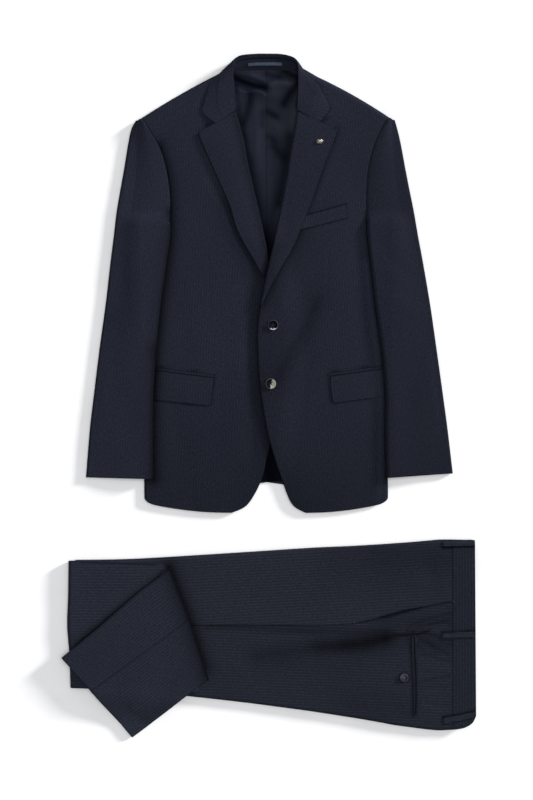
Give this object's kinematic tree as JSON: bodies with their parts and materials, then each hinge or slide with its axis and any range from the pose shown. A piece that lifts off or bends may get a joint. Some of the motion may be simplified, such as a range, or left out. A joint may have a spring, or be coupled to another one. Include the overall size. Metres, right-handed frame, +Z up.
{
  "type": "two-piece suit",
  "caption": "Folded two-piece suit laid flat: a buttoned single-breasted jacket on its back, with its trousers folded below the hem.",
  "frame": {"origin": "centre of the suit's footprint, on the surface it lies on", "axes": "+Y up the jacket from its hem towards its collar, +X to the wearer's left, +Z up from the surface towards the viewer"},
  "size_m": [0.756, 1.249, 0.024],
  "materials": {
    "wool": "matt fine-striped worsted",
    "satin": "soft satin lining",
    "horn": "polished",
    "stud_metal": "satin",
    "tape": "woven tape"
  },
  "bodies": {
    "root": {"back_left": "wool", "back_right": "wool", "side_panel_left": "wool", "side_panel_right": "wool", "front_left": "wool", "front_right": "wool", "lapel_left": "wool", "lapel_right": "wool", "collar_leaf": "wool", "collar_stand": "wool", "topsleeve_left": "wool", "topsleeve_right": "wool", "undersleeve_left": "wool", "undersleeve_right": "wool", "breast_welt": "wool", "pocket_flap_left": "wool", "pocket_flap_right": "wool", "pocket_jet_left": "wool", "pocket_jet_right": "wool", "trouser_front": "wool", "trouser_back": "wool", "trouser_inner_layers": "wool", "waistband": "wool", "belt_loop_side": "wool", "belt_loop_middle": "wool", "belt_loop_back": "wool", "hip_jet_inner": "wool", "hip_jet_outer": "wool", "return_leg": "wool", "leg_end_front": "wool", "leg_end_back": "wool", "leg_end_under": "wool", "back_lining_left": "satin", "back_lining_right": "satin", "pocket_facing": "satin", "button_upper": "horn", "button_lower": "horn", "hip_button": "horn", "lapel_stud": "stud_metal", "hanger_loop": "tape"}
  },
  "joints": []
}
